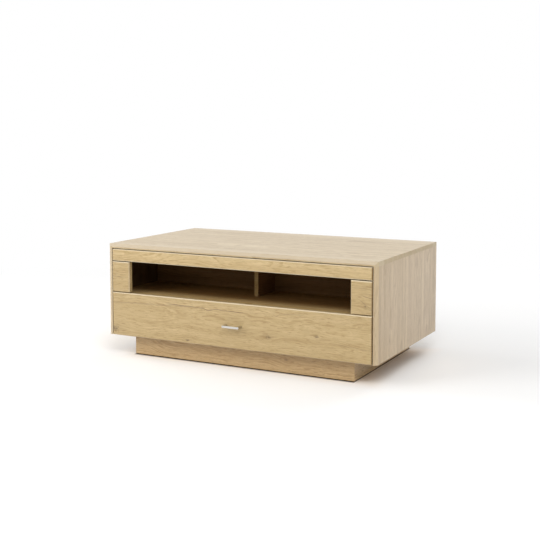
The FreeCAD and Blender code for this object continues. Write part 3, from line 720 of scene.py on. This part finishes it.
def makeScrewTree():
    tree = bpy.data.node_groups.new("screwSetter", "GeometryNodeTree")
    sockets = tree.interface.new_socket
    sockets(name="Places", in_out="INPUT", socket_type="NodeSocketGeometry")
    for label, value in screwSettings.items():
        kind = "NodeSocketInt" if isinstance(value, int) else "NodeSocketFloat"
        sockets(name=label, in_out="INPUT", socket_type=kind)
    sockets(name="Finish", in_out="INPUT", socket_type="NodeSocketMaterial")
    sockets(name="Screws", in_out="OUTPUT", socket_type="NodeSocketGeometry")
    given = addNode(tree, "NodeGroupInput").outputs
    put = addNode(tree, "NodeGroupOutput").inputs

    def attribute(label):
        item = addNode(tree, "GeometryNodeInputNamedAttribute", {"Name": label}, data_type="FLOAT_VECTOR")
        return item.outputs["Attribute"]

    def move(shape, by=None, turn=None):
        wanted = {"Geometry": shape, "Translation": by, "Rotation": turn}
        return addNode(tree, "GeometryNodeTransform", wanted).outputs[0]

    def join(*shapes):
        item = addNode(tree, "GeometryNodeJoinGeometry")
        for shape in shapes:
            feed(tree, item.inputs[0], shape)
        return item.outputs[0]

    def cone(foot, top, height):
        sizes = {"Vertices": given["Sides"], "Radius Bottom": foot, "Radius Top": top, "Depth": height}
        return addNode(tree, "GeometryNodeMeshCone", sizes).outputs["Mesh"]

    # shank from 0 to 1 along its length, head from 0 to -1
    body = calc(tree, "SUBTRACT", 1.0, given["Point"])
    point = move(cone(1.0, given["Tip"], given["Point"]), joinVector(tree, 0.0, 0.0, body))
    shank = join(cone(1.0, 1.0, body), point)
    head = move(cone(1.0, given["Head Taper"], 1.0), turn=(math.pi, 0.0, 0.0))
    # the recess's bars are centred on the top of the head, so half of each is cut
    deep = calc(tree, "MULTIPLY", given["Recess Depth"], 2.0)
    cut = addNode(tree, "GeometryNodeMeshBoolean", {"Mesh 1": head}, operation="DIFFERENCE")
    for wide, long in (("Recess Width", "Recess Reach"), ("Recess Reach", "Recess Width")):
        size = joinVector(tree, given[wide], given[long], deep)
        bar = addNode(tree, "GeometryNodeMeshCube", {"Size": size}).outputs["Mesh"]
        feed(tree, cut.inputs["Mesh 2"], move(bar, (0.0, 0.0, -1.0)))
    # each screw along its own drive, stopped at a turn of its own; input 3 is the largest turn
    aim = addNode(tree, "FunctionNodeAlignRotationToVector", {"Vector": attribute("drive")}, axis="Z")
    chance = addNode(tree, "FunctionNodeRandomValue", {3: math.pi, "Seed": given["Seed"]}, data_type="FLOAT")
    spin = addNode(tree, "FunctionNodeAxisAngleToRotation",
                   {"Axis": (0.0, 0.0, 1.0), "Angle": chance.outputs[1]})
    turned = addNode(tree, "FunctionNodeRotateRotation",
                     {"Rotation": aim.outputs[0], "Rotate By": spin.outputs[0]}, rotation_space="LOCAL")
    placed = []
    for shape, label in ((shank, "shankSize"), (cut.outputs["Mesh"], "headSize")):
        item = addNode(tree, "GeometryNodeInstanceOnPoints", {
            "Points": given["Places"], "Instance": shape, "Rotation": turned.outputs[0],
            "Scale": attribute(label)})
        placed.append(item.outputs[0])
    real = addNode(tree, "GeometryNodeRealizeInstances", {0: join(*placed)})
    wanted = {"Geometry": real.outputs[0], "Material": given["Finish"]}
    feed(tree, put["Screws"], addNode(tree, "GeometryNodeSetMaterial", wanted).outputs[0])
    return tree


def makeScrews():
    tree = makeScrewTree()
    values = {**screwSettings, "Finish": materials["screwZinc"]}
    for name, (body, names) in screwSets.items():
        screws = readScrews(names)
        places = bpy.data.meshes.new(name + "Places")
        places.from_pydata([screw["seat"] for screw in screws], [], [])
        for label in ("drive", "headSize", "shankSize"):
            column = places.attributes.new(label, "FLOAT_VECTOR", "POINT")
            column.data.foreach_set("vector", [part for screw in screws for part in screw[label]])
        piece = bpy.data.objects.new(name, places)
        scene.collection.objects.link(piece)
        setter = piece.modifiers.new("screwSetter", "NODES")
        setter.node_group = tree
        for item in tree.interface.items_tree:
            if item.in_out == "INPUT" and item.name in values:
                setter[item.identifier] = values[item.name]
        seen = piece.evaluated_get(bpy.context.evaluated_depsgraph_get())
        plain = bpy.data.meshes.new_from_object(seen)
        plain.name = name
        piece.modifiers.remove(setter)
        piece.data = plain
        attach(piece, body)
        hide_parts(*names)
        print(name + ":", len(screws), "screws,", len(plain.polygons), "faces")


makeScrews()


# floor and light

def seenByEye(tree):
    path = addNode(tree, "ShaderNodeLightPath").outputs
    return largest(tree, path["Is Camera Ray"], path["Is Glossy Ray"], path["Is Transmission Ray"])


floorSettings = {
    "size": 30.0,
    "drop": 0.0003,                     # below the table's foot
    "white": (1.0, 1.0, 1.0),
    "bounce": (0.85, 0.85, 0.85),       # what it throws back on the table
    "fade": (1.3, 2.6),                 # where it turns into plain white
    "coverShift": 0.050,                # painted warm shade under the table, for light the wood throws back on the floor, less at the lit left
    "coverFade": (0.050, -0.090),
    "coverTint": (1.0, 0.93, 0.86),
    "footInset": (0.002, 0.001),        # painted contact shadow, a dark line at the plinth
    "footWidth": (0.007, 0.020),
    "footDark": (0.06, 0.05, 0.04),
}


def floorMaterial():
    s = floorSettings
    material, tree, shader = newMaterial("studioWhite")
    tree.nodes.remove(shader)
    place = objectPlace(tree)

    def beyond(edge, shift=0.0, width=(1.0, 1.0)):
        # how far a point lies outside a rectangle, in metres or in widths
        moved = vectorCalc(tree, "SUBTRACT", place, (shift, 0.0, 0.0))
        away = splitVector(tree, vectorCalc(tree, "ABSOLUTE", moved))
        sides = [calc(tree, "DIVIDE", calc(tree, "SUBTRACT", away[i], edge[i]), width[i]) for i in range(2)]
        return largest(tree, *sides)

    # table and plinth are centred, so these corners give half their sizes
    table, plinth = [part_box(name)[1] for name in ("right_side_panel", "plinth_right")]
    cover = (table.x - s["coverShift"], table.y)
    foot = [plinth[i] - s["footInset"][i] for i in range(2)]
    # painted warm shade under the table and a painted contact shadow at the plinth
    covered = ramp(tree, beyond(cover, s["coverShift"]), *s["coverFade"])
    footed = ramp(tree, beyond(foot, width=s["footWidth"]), 1.0, 0.0)
    shade = blendColour(tree, covered, opaque(s["white"]), opaque(s["coverTint"]), "MULTIPLY")
    shade = blendColour(tree, footed, shade, opaque(s["footDark"]))
    near = addNode(tree, "ShaderNodeBsdfDiffuse", {"Color": shade})
    far = addNode(tree, "ShaderNodeEmission")
    seen = mixShaders(tree, ramp(tree, vectorCalc(tree, "LENGTH", place), *s["fade"]), near, far)
    bounce = addNode(tree, "ShaderNodeBsdfDiffuse", {"Color": opaque(s["bounce"])})
    both = mixShaders(tree, seenByEye(tree), bounce, seen)
    feed(tree, tree.nodes["Material Output"].inputs["Surface"], both.outputs[0])
    return material


def makeFloor():
    s = floorSettings
    half = s["size"] / 2
    mesh = bpy.data.meshes.new("studioFloor")
    corners = [(x * half, y * half, -s["drop"]) for x, y in ((-1, -1), (1, -1), (1, 1), (-1, 1))]
    mesh.from_pydata(corners, [], [(0, 1, 2, 3)])
    mesh.materials.append(floorMaterial())
    floor = bpy.data.objects.new("studioFloor", mesh)
    scene.collection.objects.link(floor)


skySettings = {"fill": 0.30, "tint": (1.0, 1.0, 1.0), "seen": (1.0, 1.0, 1.0)}


def makeSky():
    s = skySettings
    world = bpy.data.worlds.new("studioSky")
    world.use_nodes = True
    tree = world.node_tree
    fill = tree.nodes["Background"]
    fill.inputs["Color"].default_value = opaque(s["tint"])
    fill.inputs["Strength"].default_value = s["fill"]
    white = addNode(tree, "ShaderNodeBackground", {"Color": opaque(s["seen"])})
    both = mixShaders(tree, seenByEye(tree), fill, white)
    feed(tree, tree.nodes["World Output"].inputs["Surface"], both.outputs[0])
    scene.world = world


lampAim = (0.0, 0.0, 0.2)
lampSettings = {
    "frontLeftSoftbox": {"place": (-2.1, -2.7, 2.0), "size": 2.0, "power": 57.0, "tint": (1.0, 0.985, 0.96)},
    "frontRightSoftbox": {"place": (1.9, -3.0, 2.4), "size": 2.0, "power": 28.0, "tint": (1.0, 1.0, 1.0)},
    "frontHighSoftbox": {"place": (1.7, -2.3, 3.3), "size": 2.0, "power": 40.0, "tint": (1.0, 1.0, 1.0)},
    "rightSoftbox": {"place": (3.2, -0.5, 2.0), "size": 2.0, "power": 14.0, "tint": (0.98, 0.99, 1.0)},
    "leftSoftbox": {"place": (-3.2, -0.3, 2.2), "size": 2.0, "power": 46.0, "tint": (1.0, 0.99, 0.98)},
    "backSoftbox": {"place": (0.6, 3.2, 2.6), "size": 2.4, "power": 56.0, "tint": (1.0, 1.0, 1.0)},
}


def setInScene(item, position, look):
    # a lamp or the camera, looking along a direction
    item.location = position
    item.rotation_mode = "QUATERNION"
    item.rotation_quaternion = look.to_track_quat("-Z", "Y")
    scene.collection.objects.link(item)


def makeLamps():
    for name, s in lampSettings.items():
        light = bpy.data.lights.new(name, "AREA")
        light.shape = "SQUARE"
        light.size = s["size"]
        light.energy = s["power"]
        light.color = s["tint"]
        lamp = bpy.data.objects.new(name, light)
        lamp.visible_glossy = False   # lacquer shows the white room and no lamp glare
        setInScene(lamp, s["place"], Vector(lampAim) - Vector(s["place"]))


makeFloor()
makeSky()
makeLamps()
print("floor and light ready")


# camera, fitted to the straight edges of the table, in metres and radians, its lens in millimetres

cameraSettings = {
    "place": (1.7027, -3.3248, 0.8810),
    "yaw": -0.4775,
    "pitch": -0.0779,
    "lens": 64.963,
    "sensor": 36.0,
    "shiftY": -0.1296,
}


def makeCamera():
    s = cameraSettings
    data = bpy.data.cameras.new("tableCamera")
    data.lens = s["lens"]
    data.sensor_width = s["sensor"]
    data.shift_y = s["shiftY"]
    camera = bpy.data.objects.new("tableCamera", data)
    level = math.cos(s["pitch"])
    look = Vector((math.sin(s["yaw"]) * level, math.cos(s["yaw"]) * level, math.sin(s["pitch"])))
    setInScene(camera, s["place"], look)
    scene.camera = camera


makeCamera()
